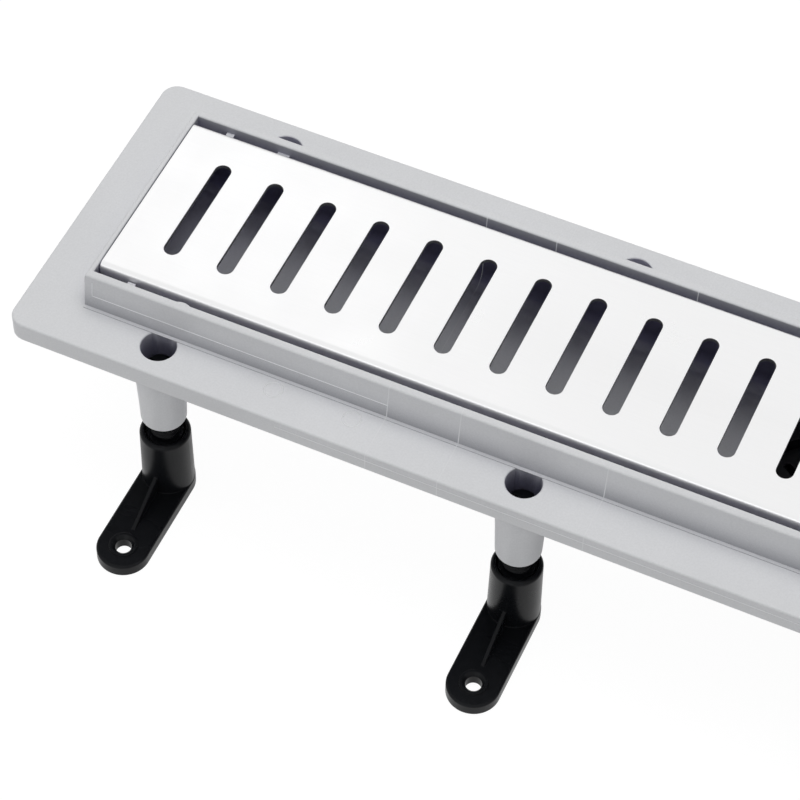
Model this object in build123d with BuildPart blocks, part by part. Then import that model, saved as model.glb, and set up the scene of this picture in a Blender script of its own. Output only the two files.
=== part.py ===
from build123d import *
import os

os.makedirs("parts", exist_ok=True)

# Linear shower drain, all sizes in millimetres.
# X runs along the drain, Y across it, and Z up from the floor that the feet stand on.
# The origin is on that floor, under the middle of the drain.

# Grate: one steel sheet with its long edges folded down
slot_count = 24
slot_pitch = 20.0
slot_end_margin = 19.0
slot_width = 6.0
slot_length = 44.0
grate_width = 71.6
grate_sheet = 1.5
grate_bend = 2.2
grate_height = 12.0

# Raised rim round the grate
side_gap = 3.1
end_gap = 0.4
rim_thickness = 3.0
end_rim_thickness = 2.0
rim_lean = 1.8
rim_rise = 14.0
rim_edge_radius = 0.8
foot_strip_width = 1.2
foot_strip_height = 0.2

# Flange that the floor covering laps over
flange_side_reach = 17.1
flange_end_reach = 21.3
flange_thickness = 3.0
flange_corner = 6.0
flange_edge_radius = 0.8
skirt_height = 7.8
skirt_wall = 2.5
rib_count = 9
end_rib_count = 3
rib_thickness = 2.0

# Trough under the grate
trough_depth = 33.0
floor_fall = 3.0
floor_thickness = 3.0
trough_wall = 3.0
trough_draft = 2.0
trough_flat = 38.0
shelf_count = 5
shelf_pitch = 110.0
shelf_length = 14.0
shelf_lap = 1.2
shelf_drop = 6.0
nib_clearance = 0.3
nib_height = 5.0
tab_inset = 12.4
tab_width = 2.9
tab_drop = 3.1
boss_inset = 33.0
boss_radius = 2.3
boss_drop = 3.9
bulge_radius = 5.0
bulge_rise = 0.9

# Legs: a sleeve on the flange, a screw and a swivelling foot
leg_inset = 28.3
leg_spacing = 133.2
leg_stand_off = 5.3
sleeve_length = 38.0
sleeve_tip_radius = 8.0
sleeve_root_radius = 9.2
sleeve_mouth_radius = 6.2
sleeve_mouth_depth = 17.0
sleeve_mouth_chamfer = 0.3
sleeve_tip_fillet = 1.0
thread_radius = 5.0
thread_clearance = 0.06
thread_showing = 8.0
screw_drop = 10.0
screw_tip_chamfer = 0.8
driver_slot_width = 1.6
driver_slot_depth = 2.5
collar_radius = 6.6
collar_height = 2.0
journal_radius = 4.3
journal_clearance = 0.06
seat_clearance = 0.2
foot_height = 31.0
post_foot_radius = 9.4
post_top_radius = 9.0
post_shoulder = 1.6
dish_radius = 7.3
dish_depth = 3.0
journal_length = 20.0
pad_reach = 34.6
pad_width = 19.0
pad_thickness = 4.7
pad_edge_radius = 0.8
gusset_height = 8.5
gusset_thickness = 1.2
gusset_stop = 7.2
anchor_radius = 2.9
anchor_ring_radius = 5.0
anchor_ring_height = 0.6
anchor_countersink = 4.0

# Waste outlet and trap under the middle of the trough
outlet_side_gap = 1.1
outlet_flange_thickness = 2.5
outlet_neck_wall = 2.5
outlet_neck_gap = 1.5
outlet_neck_length = 15.0
insert_ledge_width = 2.0
insert_ledge_height = 5.0
screwed_clearance = 0.08
washer_width = 3.8
washer_thickness = 1.0
gasket_width = 7.0
gasket_thickness = 2.0
housing_flange_radius = 33.5
housing_flange_thickness = 3.0
housing_radius = 30.0
housing_wall = 2.5
housing_depth = 42.0
housing_shoulder = 14.0
housing_roundness = 0.6
housing_floor_radius = 20.0
insert_clearance = 0.3
insert_height = 7.0
insert_wall = 2.2
funnel_depth = 8.0
dip_tube_radius = 12.5
dip_tube_wall = 1.5
dip_tube_length = 25.0
o_ring_radius = 1.2
o_ring_gap = 0.1
cup_radius = 19.0
cup_wall = 1.6
cup_rim_drop = 10.0
cup_floor_gap = 5.0
cup_bead_width = 0.9
cup_bead_height = 2.0
hanger_count = 3
hanger_thickness = 2.0
hanger_height = 5.0
strainer_thickness = 1.5
strainer_slot_count = 12
strainer_slot_length = 9.0
strainer_slot_width = 2.8
strainer_slot_ring = 13.5
strainer_knob_radius = 3.0
strainer_knob_height = 6.0

# Side outlet with its compression joint for a waste pipe
pipe_radius = 20.0
pipe_clearance = 0.2
conduit_wall = 2.5
conduit_end = 46.0
socket_wall = 3.6
socket_depth = 20.0
socket_step = 2.0
socket_chamfer = 1.8
nut_overlap = 10.0
nut_wall = 3.4
nut_lip = 2.4
nut_grip_count = 12
nut_grip_radius = 1.8
seal_width = 3.2
seal_thickness = 1.8
seal_gap = 0.2

# Levels, worked out from the sizes above
sleeve_bottom = foot_height + thread_showing
flange_top = sleeve_bottom + sleeve_length
flange_under = flange_top - flange_thickness
skirt_bottom = flange_top - skirt_height
rim_top = flange_top + rim_rise
grate_bottom = rim_top - grate_height
outlet_floor = rim_top - trough_depth
end_floor = outlet_floor + floor_fall
outlet_under = outlet_floor - floor_thickness
end_under = end_floor - floor_thickness

# Plan sizes, worked out from the grate outwards
grate_length = 2 * slot_end_margin + (slot_count - 1) * slot_pitch
inner_half_width = grate_width / 2 + side_gap
inner_half_length = grate_length / 2 + end_gap
rim_half_width = inner_half_width + rim_thickness
rim_half_length = inner_half_length + end_rim_thickness
wall_foot_half_width = rim_half_width + rim_lean
flange_half_width = wall_foot_half_width + flange_side_reach
flange_half_length = rim_half_length + flange_end_reach
strip_half_width = wall_foot_half_width + foot_strip_width
floor_half_width = inner_half_width - trough_draft
trough_half_width = floor_half_width + trough_wall

# Outlet radii, worked out inwards from the flange of the trap housing
outlet_hole_radius = housing_flange_radius - gasket_width
outlet_flange_radius = outlet_hole_radius + washer_width
outlet_neck_radius = outlet_hole_radius - outlet_neck_gap
outlet_bore_radius = outlet_neck_radius - outlet_neck_wall
trough_corner_radius = floor_half_width - outlet_flange_radius - outlet_side_gap

# Leg places: one to four along the near side, five to eight along the far side
outer_leg_x = grate_length / 2 - leg_inset
inner_leg_x = outer_leg_x - leg_spacing
leg_offset = wall_foot_half_width + leg_stand_off
leg_rows = [-outer_leg_x, -inner_leg_x, inner_leg_x, outer_leg_x]
leg_places = [(x, side * leg_offset) for side in (-1, 1) for x in leg_rows]


# Channel body: trough, rim, flange, skirt and the eight leg sleeves in one moulding
with BuildPart() as channel_body:
    # Flange slab with rounded corners and a softened top edge
    with BuildSketch(Plane.XY.offset(skirt_bottom)):
        RectangleRounded(2 * flange_half_length, 2 * flange_half_width, flange_corner)
    extrude(amount=skirt_height)
    fillet(channel_body.faces().sort_by(Axis.Z)[-1].edges(), flange_edge_radius)

    # Hollow underside, which leaves a skirt round the edge
    with BuildSketch(Plane.XY.offset(skirt_bottom)):
        RectangleRounded(
            2 * (flange_half_length - skirt_wall),
            2 * (flange_half_width - skirt_wall),
            flange_corner - skirt_wall,
        )
    extrude(amount=skirt_height - flange_thickness, mode=Mode.SUBTRACT)

    # Ribs that stiffen the flange, from the trough out to the skirt, and webs that hold the leg sleeves
    with BuildSketch(Plane.XY.offset(skirt_bottom)):
        with GridLocations(2 * rim_half_length / (rib_count - 1), 0, rib_count, 1):
            Rectangle(rib_thickness, 2 * flange_half_width - skirt_wall)
        with GridLocations(0, 2 * floor_half_width / (end_rib_count - 1), 1, end_rib_count):
            Rectangle(2 * flange_half_length - skirt_wall, rib_thickness)
        with GridLocations(2 * outer_leg_x, 0, 2, 1):
            Rectangle(rib_thickness, 2 * flange_half_width - skirt_wall)
        with GridLocations(2 * inner_leg_x, 0, 2, 1):
            Rectangle(rib_thickness, 2 * flange_half_width - skirt_wall)
    extrude(amount=skirt_height - flange_thickness)

    # Low strip along the foot of the rim
    with BuildSketch(Plane.XY.offset(flange_under)):
        Rectangle(2 * rim_half_length, 2 * strip_half_width)
    extrude(amount=flange_thickness + foot_strip_height)

    # Rim, whose long sides lean outwards towards the flange
    with BuildSketch(Plane.XY.offset(flange_top)):
        Rectangle(2 * rim_half_length, 2 * wall_foot_half_width)
    with BuildSketch(Plane.XY.offset(rim_top)):
        Rectangle(2 * rim_half_length, 2 * rim_half_width)
    loft()

    # Outside of the trough, which falls towards the outlet
    with BuildSketch(Plane.XZ):
        with BuildLine():
            Polyline(
                (-rim_half_length, flange_under),
                (-rim_half_length, end_under),
                (-trough_flat, outlet_under),
                (trough_flat, outlet_under),
                (rim_half_length, end_under),
                (rim_half_length, flange_under),
                close=True,
            )
        make_face()
    extrude(amount=trough_half_width, both=True)

    # Leg sleeves, narrower towards their tips
    with Locations(*[(x, y, sleeve_bottom) for x, y in leg_places]):
        Cone(
            sleeve_tip_radius,
            sleeve_root_radius,
            sleeve_length - flange_thickness,
            align=(Align.CENTER, Align.CENTER, Align.MIN),
        )
    fillet(channel_body.edges().group_by(Axis.Z)[0], sleeve_tip_fillet)

    # Inside of the trough: straight drafted walls, then the falling floor
    with BuildSketch(Plane.YZ):
        with BuildLine():
            Polyline(
                (-inner_half_width, rim_top),
                (inner_half_width, rim_top),
                (floor_half_width, end_floor),
                (-floor_half_width, end_floor),
                close=True,
            )
        make_face()
    extrude(amount=inner_half_length, both=True, mode=Mode.SUBTRACT)
    with BuildSketch(Plane.XZ):
        with BuildLine():
            Polyline(
                (-inner_half_length, end_floor),
                (inner_half_length, end_floor),
                (trough_flat, outlet_floor),
                (-trough_flat, outlet_floor),
                close=True,
            )
        make_face()
    extrude(amount=floor_half_width, both=True, mode=Mode.SUBTRACT)
    floor_edges = channel_body.edges().filter_by(
        lambda edge: abs(abs(edge.center().Y) - floor_half_width) < floor_thickness / 10
        and outlet_under < edge.center().Z < end_floor
        and edge.length > 2 * trough_flat - floor_thickness
    )
    fillet(floor_edges, trough_corner_radius)
    fillet(channel_body.edges().group_by(Axis.Z)[-1], rim_edge_radius)

    # Shelves on the long walls, which carry the folded edges of the grate
    shelf_edge = grate_width / 2 - grate_sheet - shelf_lap
    for index in range(shelf_count):
        shelf_x = (index - (shelf_count - 1) / 2) * shelf_pitch
        with BuildSketch(Plane.YZ.offset(shelf_x)):
            with BuildLine():
                Polyline(
                    (shelf_edge, grate_bottom),
                    (rim_half_width, grate_bottom),
                    (rim_half_width, grate_bottom - shelf_drop - trough_wall),
                    (shelf_edge, grate_bottom - shelf_drop / 2),
                    close=True,
                )
            make_face()
            mirror(about=Plane.YZ)
        extrude(amount=shelf_length / 2, both=True)

    # Tabs on both long walls, which centre the ends of the grate
    nib_reach = side_gap - nib_clearance
    tab_x = grate_length / 2 - tab_inset
    boss_x = grate_length / 2 - boss_inset
    with BuildSketch(Plane.XY.offset(rim_top - tab_drop - nib_height)):
        with GridLocations(2 * tab_x, 2 * inner_half_width, 2, 2):
            Rectangle(tab_width, 2 * nib_reach)
    extrude(amount=nib_height)

    # Round bosses low on the far wall
    with BuildSketch(Plane.XY.offset(rim_top - boss_drop - nib_height)):
        with Locations((-boss_x, inner_half_width), (boss_x, inner_half_width)):
            SlotOverall(2 * nib_reach, 2 * boss_radius, rotation=90)
    extrude(amount=nib_height)

    # Low bulges of the near wall, across from the bosses
    bulge_y = -inner_half_width - bulge_radius + bulge_rise
    with BuildSketch(Plane.XY.offset(rim_top - rim_edge_radius - nib_height)):
        with Locations((-boss_x, bulge_y), (boss_x, bulge_y)):
            Circle(bulge_radius)
        Rectangle(2 * rim_half_length, 2 * inner_half_width + rim_thickness, mode=Mode.INTERSECT)
    extrude(amount=nib_height)

    # Screw bores
    with Locations(*[(x, y, sleeve_bottom) for x, y in leg_places]):
        Cylinder(
            thread_radius + thread_clearance,
            sleeve_length,
            align=(Align.CENTER, Align.CENTER, Align.MIN),
            mode=Mode.SUBTRACT,
        )

    # Wider mouths where the driver goes in, cut short by the strip at the foot of the rim
    with BuildSketch(Plane.XY.offset(flange_top)):
        with Locations(*leg_places):
            Circle(sleeve_mouth_radius)
        Rectangle(2 * rim_half_length, 2 * strip_half_width, mode=Mode.SUBTRACT)
    extrude(amount=-sleeve_mouth_depth, mode=Mode.SUBTRACT)
    mouth_edges = channel_body.edges().filter_by(GeomType.CIRCLE).filter_by(
        lambda edge: abs(edge.radius - sleeve_mouth_radius) < sleeve_mouth_chamfer
        and edge.center().Z > flange_top - sleeve_mouth_chamfer
    )
    chamfer(mouth_edges, sleeve_mouth_chamfer)

    # Outlet hole in the flat middle of the floor
    with Locations((0, 0, outlet_floor)):
        Hole(outlet_hole_radius, floor_thickness)
channel_body.part.label = "channel_body"
export_step(channel_body.part, "parts/channel_body.step")


# Grate: folded section along the drain, then the row of slots
with BuildPart() as grate:
    with BuildSketch(Plane.YZ):
        with BuildLine():
            outer_fold = FilletPolyline(
                (-grate_width / 2, grate_bottom),
                (-grate_width / 2, rim_top),
                (grate_width / 2, rim_top),
                (grate_width / 2, grate_bottom),
                radius=grate_bend,
            )
            inner_fold = FilletPolyline(
                (-grate_width / 2 + grate_sheet, grate_bottom),
                (-grate_width / 2 + grate_sheet, rim_top - grate_sheet),
                (grate_width / 2 - grate_sheet, rim_top - grate_sheet),
                (grate_width / 2 - grate_sheet, grate_bottom),
                radius=grate_bend - grate_sheet,
            )
            Line(outer_fold @ 0, inner_fold @ 0)
            Line(outer_fold @ 1, inner_fold @ 1)
        make_face()
    extrude(amount=grate_length / 2, both=True)
    with BuildSketch(Plane.XY.offset(rim_top)):
        with GridLocations(slot_pitch, 0, slot_count, 1):
            SlotOverall(slot_length, slot_width, rotation=90)
    extrude(amount=-grate_sheet, mode=Mode.SUBTRACT)
grate.part.label = "grate"
export_step(grate.part, "parts/grate.step")


# Legs: each screw turns in its sleeve and in the post of its foot
screw_top = flange_top - screw_drop
dish_floor = foot_height - dish_depth
collar_bottom = dish_floor + seat_clearance
collar_top = collar_bottom + collar_height
journal_bottom = collar_bottom - journal_length
for number, (leg_x, leg_y) in enumerate(leg_places, start=1):
    outward = 1 if leg_y > 0 else -1
    upright = Plane(origin=(leg_x, leg_y, 0), x_dir=(0, outward, 0), z_dir=(outward, 0, 0))
    level = Plane(origin=(leg_x, leg_y, 0), x_dir=(0, outward, 0), z_dir=(0, 0, 1))
    leg_axis = Axis((leg_x, leg_y, 0), (0, 0, 1))

    with BuildPart() as leg_screw:
        with BuildSketch(upright):
            with BuildLine():
                Polyline(
                    (0, journal_bottom),
                    (journal_radius, journal_bottom),
                    (journal_radius, collar_bottom),
                    (collar_radius, collar_bottom),
                    (collar_radius, collar_top),
                    (thread_radius, collar_top),
                    (thread_radius, screw_top - screw_tip_chamfer),
                    (thread_radius - screw_tip_chamfer, screw_top),
                    (0, screw_top),
                    close=True,
                )
            make_face()
        revolve(axis=leg_axis)
        with BuildSketch(level.offset(screw_top)):
            Rectangle(driver_slot_width, 2 * thread_radius)
        extrude(amount=-driver_slot_depth, mode=Mode.SUBTRACT)
    leg_screw.part.label = f"leg_screw_{number}"
    export_step(leg_screw.part, f"parts/leg_screw_{number}.step")

    with BuildPart() as foot:
        # Round-ended pad that lies on the floor
        with BuildSketch(level):
            with Locations((pad_reach / 2, 0)):
                SlotCenterToCenter(pad_reach, pad_width)
        extrude(amount=pad_thickness)
        fillet(foot.faces().sort_by(Axis.Z)[-1].edges(), pad_edge_radius)

        # Raised ring round the anchor hole
        with BuildSketch(level.offset(pad_thickness)):
            with Locations((pad_reach, 0)):
                Circle(anchor_ring_radius)
        extrude(amount=anchor_ring_height)

        # Gusset from the post down to the pad
        with BuildSketch(upright):
            with BuildLine():
                Polyline(
                    (0, pad_thickness),
                    (pad_reach - gusset_stop, pad_thickness),
                    (post_top_radius, pad_thickness + gusset_height),
                    (0, pad_thickness + gusset_height),
                    close=True,
                )
            make_face()
        extrude(amount=gusset_thickness / 2, both=True)

        # Tapered post, dished at the top and bored for the screw's journal
        with Locations((leg_x, leg_y, 0)):
            Cone(
                post_foot_radius,
                post_top_radius,
                foot_height,
                align=(Align.CENTER, Align.CENTER, Align.MIN),
            )
        fillet(foot.edges().group_by(Axis.Z)[-1], post_shoulder)
        with Locations((leg_x, leg_y, foot_height)):
            CounterBoreHole(
                journal_radius + journal_clearance,
                dish_radius,
                dish_depth,
                foot_height - journal_bottom + seat_clearance,
            )
        with Locations((leg_x, leg_y + outward * pad_reach, pad_thickness + anchor_ring_height)):
            CounterSinkHole(anchor_radius, anchor_countersink, pad_thickness + anchor_ring_height)
    foot.part.label = f"foot_{number}"
    export_step(foot.part, f"parts/foot_{number}.step")


# Trap housing: a bowl under the trough with its outlet pipe towards the far side
gasket_bottom = outlet_under - gasket_thickness
housing_bottom = gasket_bottom - housing_depth
housing_inner_radius = housing_radius - housing_wall
conduit_radius = pipe_radius
pipe_axis_z = gasket_bottom - conduit_radius - conduit_wall / 2
pipe_start = Plane(origin=(0, 0, pipe_axis_z), x_dir=(1, 0, 0), z_dir=(0, 1, 0))
pipe_axis = Axis((0, 0, pipe_axis_z), (0, 1, 0))
socket_radius = pipe_radius + pipe_clearance
socket_outer_radius = socket_radius + socket_wall
socket_start = conduit_end + socket_step
socket_end = socket_start + socket_depth
with BuildPart() as trap_housing:
    # Bowl and its clamping flange
    with BuildSketch(Plane.XZ):
        with BuildLine():
            Line((0, gasket_bottom), (housing_flange_radius, gasket_bottom))
            Line(
                (housing_flange_radius, gasket_bottom),
                (housing_flange_radius, gasket_bottom - housing_flange_thickness),
            )
            Line(
                (housing_flange_radius, gasket_bottom - housing_flange_thickness),
                (housing_radius, gasket_bottom - housing_flange_thickness),
            )
            Line(
                (housing_radius, gasket_bottom - housing_flange_thickness),
                (housing_radius, housing_bottom + housing_shoulder),
            )
            bowl_curve = ThreePointArc(
                (housing_radius, housing_bottom + housing_shoulder),
                (
                    housing_floor_radius + housing_roundness * (housing_radius - housing_floor_radius),
                    housing_bottom + (1 - housing_roundness) * housing_shoulder,
                ),
                (housing_floor_radius, housing_bottom),
            )
            Line((housing_floor_radius, housing_bottom), (0, housing_bottom))
            Line((0, housing_bottom), (0, gasket_bottom))
        make_face()
    revolve(axis=Axis.Z)

    # Outlet pipe and the wider socket at its end
    with BuildSketch(pipe_start):
        Circle(conduit_radius)
    extrude(amount=conduit_end)
    with BuildSketch(pipe_start.offset(conduit_end)):
        Circle(socket_outer_radius)
    extrude(amount=socket_end - conduit_end)

    # Inside of the bowl, with a narrower threaded mouth
    with BuildSketch(Plane.XZ):
        with BuildLine():
            Polyline(
                (0, gasket_bottom),
                (outlet_neck_radius + screwed_clearance, gasket_bottom),
                (outlet_neck_radius + screwed_clearance, outlet_floor - outlet_neck_length),
                (housing_inner_radius, outlet_floor - outlet_neck_length - housing_wall),
                (housing_inner_radius, housing_bottom + housing_shoulder),
                (housing_floor_radius - housing_wall / 2, housing_bottom + housing_wall),
                (0, housing_bottom + housing_wall),
                close=True,
            )
        make_face()
    revolve(axis=Axis.Z, mode=Mode.SUBTRACT)

    # Bore of the outlet pipe and of the socket
    with BuildSketch(pipe_start):
        Circle(conduit_radius - conduit_wall)
    extrude(amount=socket_end, mode=Mode.SUBTRACT)
    with BuildSketch(pipe_start.offset(socket_start)):
        Circle(socket_radius)
    extrude(amount=socket_depth, mode=Mode.SUBTRACT)
    socket_mouth = trap_housing.edges().filter_by(GeomType.CIRCLE).group_by(Axis.Y)[-1]
    chamfer(socket_mouth.sort_by(SortBy.RADIUS)[0], socket_chamfer)
trap_housing.part.label = "trap_housing"
export_step(trap_housing.part, "parts/trap_housing.step")


# Flat gasket between the trough and the housing
with BuildPart() as housing_gasket:
    with BuildSketch(Plane.XY.offset(gasket_bottom)):
        Circle(housing_flange_radius)
        Circle(outlet_hole_radius, mode=Mode.SUBTRACT)
    extrude(amount=gasket_thickness)
housing_gasket.part.label = "housing_gasket"
export_step(housing_gasket.part, "parts/housing_gasket.step")


# Thin washer under the outlet flange
with BuildPart() as flange_washer:
    with BuildSketch(Plane.XY.offset(outlet_floor)):
        Circle(outlet_flange_radius)
        Circle(outlet_hole_radius, mode=Mode.SUBTRACT)
    extrude(amount=washer_thickness)
flange_washer.part.label = "flange_washer"
export_step(flange_washer.part, "parts/flange_washer.step")


# Outlet flange: screwed down through the trough floor into the housing
flange_seat = outlet_floor + washer_thickness
outlet_top = flange_seat + outlet_flange_thickness
neck_bottom = outlet_floor - outlet_neck_length
ledge_top = neck_bottom + insert_ledge_height
ledge_radius = outlet_bore_radius - insert_ledge_width
with BuildPart() as outlet_flange:
    with BuildSketch(Plane.XZ):
        with BuildLine():
            Polyline(
                (outlet_bore_radius, outlet_top),
                (outlet_flange_radius - outlet_flange_thickness / 2, outlet_top),
                (outlet_flange_radius, flange_seat + outlet_flange_thickness / 2),
                (outlet_flange_radius, flange_seat),
                (outlet_neck_radius, flange_seat),
                (outlet_neck_radius, neck_bottom),
                (ledge_radius, neck_bottom),
                (ledge_radius, ledge_top),
                (outlet_bore_radius, ledge_top),
                close=True,
            )
        make_face()
    revolve(axis=Axis.Z)
outlet_flange.part.label = "outlet_flange"
export_step(outlet_flange.part, "parts/outlet_flange.step")


# Trap insert: a funnel and dip tube that lift out, with ribs that hold the cup
insert_radius = outlet_bore_radius - insert_clearance
insert_top = ledge_top + insert_height
groove_radius = outlet_bore_radius - o_ring_gap - 2 * o_ring_radius - o_ring_gap
groove_half = o_ring_radius + o_ring_gap
groove_z = ledge_top + insert_height / 2
dip_bore_radius = dip_tube_radius - dip_tube_wall
dip_bottom = ledge_top - dip_tube_length
cup_inner_radius = cup_radius - cup_wall
cup_top = ledge_top - cup_rim_drop
bead_bottom = cup_top - cup_bead_height
hanger_top = bead_bottom - seat_clearance
hanger_root = dip_tube_radius - dip_tube_wall / 2
hanger_tip = cup_inner_radius - seat_clearance
with BuildPart() as trap_insert:
    with BuildSketch(Plane.XZ):
        with BuildLine():
            Polyline(
                (insert_radius - insert_wall, insert_top),
                (insert_radius, insert_top),
                (insert_radius, groove_z + groove_half),
                (groove_radius, groove_z + groove_half),
                (groove_radius, groove_z - groove_half),
                (insert_radius, groove_z - groove_half),
                (insert_radius, ledge_top),
                (ledge_radius - insert_clearance, ledge_top),
                (dip_tube_radius, ledge_top - funnel_depth),
                (dip_tube_radius, dip_bottom),
                (dip_bore_radius, dip_bottom),
                (dip_bore_radius, ledge_top - funnel_depth),
                (groove_radius - insert_wall, ledge_top),
                (groove_radius - insert_wall, groove_z + groove_half),
                close=True,
            )
        make_face()
    revolve(axis=Axis.Z)
    with BuildSketch(Plane.XY.offset(hanger_top - hanger_height)):
        with PolarLocations((hanger_root + hanger_tip) / 2, hanger_count):
            Rectangle(hanger_tip - hanger_root, hanger_thickness)
    extrude(amount=hanger_height)
trap_insert.part.label = "trap_insert"
export_step(trap_insert.part, "parts/trap_insert.step")


# Sealing ring in the groove of the insert
with BuildPart() as insert_o_ring:
    with BuildSketch(Plane.XZ):
        with Locations((outlet_bore_radius - o_ring_gap - o_ring_radius, groove_z)):
            Circle(o_ring_radius)
    revolve(axis=Axis.Z)
insert_o_ring.part.label = "insert_o_ring"
export_step(insert_o_ring.part, "parts/insert_o_ring.step")


# Trap cup: holds the water that closes off the pipe, and hangs on the insert's ribs
cup_bottom = dip_bottom - cup_floor_gap - cup_wall
with BuildPart() as trap_cup:
    with BuildSketch(Plane.XZ):
        with BuildLine():
            Polyline(
                (0, cup_bottom),
                (cup_radius - 2 * cup_wall, cup_bottom),
                (cup_radius, cup_bottom + 2 * cup_wall),
                (cup_radius, cup_top),
                (cup_inner_radius - cup_bead_width, cup_top),
                (cup_inner_radius - cup_bead_width, bead_bottom),
                (cup_inner_radius, bead_bottom),
                (cup_inner_radius, cup_bottom + 2 * cup_wall),
                (cup_inner_radius - cup_wall, cup_bottom + cup_wall),
                (0, cup_bottom + cup_wall),
                close=True,
            )
        make_face()
    revolve(axis=Axis.Z)
trap_cup.part.label = "trap_cup"
export_step(trap_cup.part, "parts/trap_cup.step")


# Hair strainer: a slotted disc with a finger knob, resting on the insert
with BuildPart() as hair_strainer:
    with BuildSketch(Plane.XY.offset(insert_top)):
        Circle(insert_radius)
        with PolarLocations(strainer_slot_ring, strainer_slot_count):
            SlotOverall(strainer_slot_length, strainer_slot_width, mode=Mode.SUBTRACT)
    extrude(amount=strainer_thickness)
    with BuildSketch(Plane.XY.offset(insert_top + strainer_thickness)):
        Circle(strainer_knob_radius)
    extrude(amount=strainer_knob_height)
    fillet(hair_strainer.faces().sort_by(Axis.Z)[-1].edges(), strainer_knob_radius / 2)
hair_strainer.part.label = "hair_strainer"
export_step(hair_strainer.part, "parts/hair_strainer.step")


# Cone seal against the mouth of the socket
with BuildPart() as outlet_seal:
    with BuildSketch(Plane(origin=(0, 0, pipe_axis_z), x_dir=(1, 0, 0), z_dir=(0, 0, 1))):
        with BuildLine():
            Polyline(
                (socket_radius, socket_end - socket_chamfer + 2 * seal_gap),
                (socket_radius, socket_end + seal_gap + seal_thickness),
                (socket_radius + seal_width, socket_end + seal_gap + seal_thickness),
                (socket_radius + seal_width, socket_end + seal_gap),
                (socket_radius + socket_chamfer - seal_gap, socket_end + seal_gap),
                close=True,
            )
        make_face()
    revolve(axis=pipe_axis)
outlet_seal.part.label = "outlet_seal"
export_step(outlet_seal.part, "parts/outlet_seal.step")


# Compression nut with finger grips
lip_start = socket_end + 2 * seal_gap + seal_thickness
nut_radius = socket_outer_radius + screwed_clearance + nut_wall
nut_start = Plane(origin=(0, socket_end - nut_overlap, pipe_axis_z), x_dir=(1, 0, 0), z_dir=(0, 1, 0))
nut_length = lip_start + nut_lip - socket_end + nut_overlap
with BuildPart() as outlet_nut:
    with BuildSketch(nut_start):
        Circle(nut_radius)
        with PolarLocations(nut_radius, nut_grip_count):
            Circle(nut_grip_radius, mode=Mode.SUBTRACT)
    extrude(amount=nut_length)
    with BuildSketch(nut_start):
        Circle(socket_outer_radius + screwed_clearance)
    extrude(amount=nut_length - nut_lip, mode=Mode.SUBTRACT)
    with BuildSketch(nut_start):
        Circle(socket_radius)
    extrude(amount=nut_length, mode=Mode.SUBTRACT)
outlet_nut.part.label = "outlet_nut"
export_step(outlet_nut.part, "parts/outlet_nut.step")
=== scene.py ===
"""Dresses a linear shower drain: grey channel, steel grate, threaded legs, feet and trap."""

import math

import bpy
import numpy as np
from bpy.props import (
    BoolProperty,
    FloatProperty,
    FloatVectorProperty,
    IntProperty,
    PointerProperty,
)
from mathutils import Matrix, Vector


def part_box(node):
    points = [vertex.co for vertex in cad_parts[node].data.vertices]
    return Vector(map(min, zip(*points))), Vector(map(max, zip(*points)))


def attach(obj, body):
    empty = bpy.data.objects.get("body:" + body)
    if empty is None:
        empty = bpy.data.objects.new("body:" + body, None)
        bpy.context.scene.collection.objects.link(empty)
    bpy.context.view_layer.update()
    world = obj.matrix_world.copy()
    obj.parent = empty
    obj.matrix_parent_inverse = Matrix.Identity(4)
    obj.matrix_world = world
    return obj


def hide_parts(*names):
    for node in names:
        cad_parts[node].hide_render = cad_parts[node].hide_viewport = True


bl_info = {
    "name": "Linear Shower Drain Finish",
    "version": (1, 0, 0),
    "blender": (4, 5, 0),
    "location": "3D View > Sidebar > Drain",
    "description": "Gives a linear shower drain its finishes, threads, mould marks and studio",
    "category": "Object",
}

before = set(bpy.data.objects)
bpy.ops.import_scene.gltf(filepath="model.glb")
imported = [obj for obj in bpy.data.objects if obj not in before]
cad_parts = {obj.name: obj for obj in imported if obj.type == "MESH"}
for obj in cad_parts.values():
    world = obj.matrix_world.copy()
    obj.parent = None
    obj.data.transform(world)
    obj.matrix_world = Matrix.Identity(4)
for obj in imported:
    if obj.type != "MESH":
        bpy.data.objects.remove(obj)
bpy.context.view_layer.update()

MM = 0.001
LEG_NUMBERS = range(1, 9)
TRAP_NODES = (
    "outlet_flange", "hair_strainer", "trap_insert", "trap_cup", "trap_housing", "outlet_nut",
)
SEAL_NODES = ("flange_washer", "insert_o_ring", "housing_gasket", "outlet_seal")

# Levels and edges read from the CAD parts of model.glb, in metres
channel_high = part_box("channel_body")[1]
grate_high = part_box("grate")[1]
RIM_TOP = channel_high.z
FLANGE_SIDE = channel_high.y
GRATE_END = grate_high.x
GRATE_SIDE = grate_high.y

# Painted shade inside the trough: each pair is where it is at zero and where at its full
TROUGH_SIDES = (GRATE_SIDE + 3.7 * MM, GRATE_SIDE + 3.3 * MM)
TROUGH_ENDS = (GRATE_END + 1.2 * MM, GRATE_END + 0.8 * MM)
TROUGH_LEVELS = (RIM_TOP - 6 * MM, RIM_TOP - 20 * MM)
TROUGH_CORNERS = (GRATE_SIDE - 7.3 * MM, GRATE_SIDE - 0.3 * MM)
TROUGH_STEEPNESS = (-0.05, 1)
TROUGH_SHADE_TONE = (0.21, 0.2, 0.31)

# Painted shade in corners, gaps and deep hollows: each pair is the hidden share where it is at zero
# and at its full
CLOSE_REACH = 10 * MM
CORNER_SHARES = (0.03, 0.46)
LEDGE_SHARES = (0.4, 1.1)
CORNER_SHADE_TINT = (1, 0.99, 0.96)
DEEP_REACH = 40 * MM
DEEP_POWER = 3
DEEP_SHADE_TONE = (0.75, 0.72, 0.98)
HIDING_SAMPLES = 8

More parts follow.
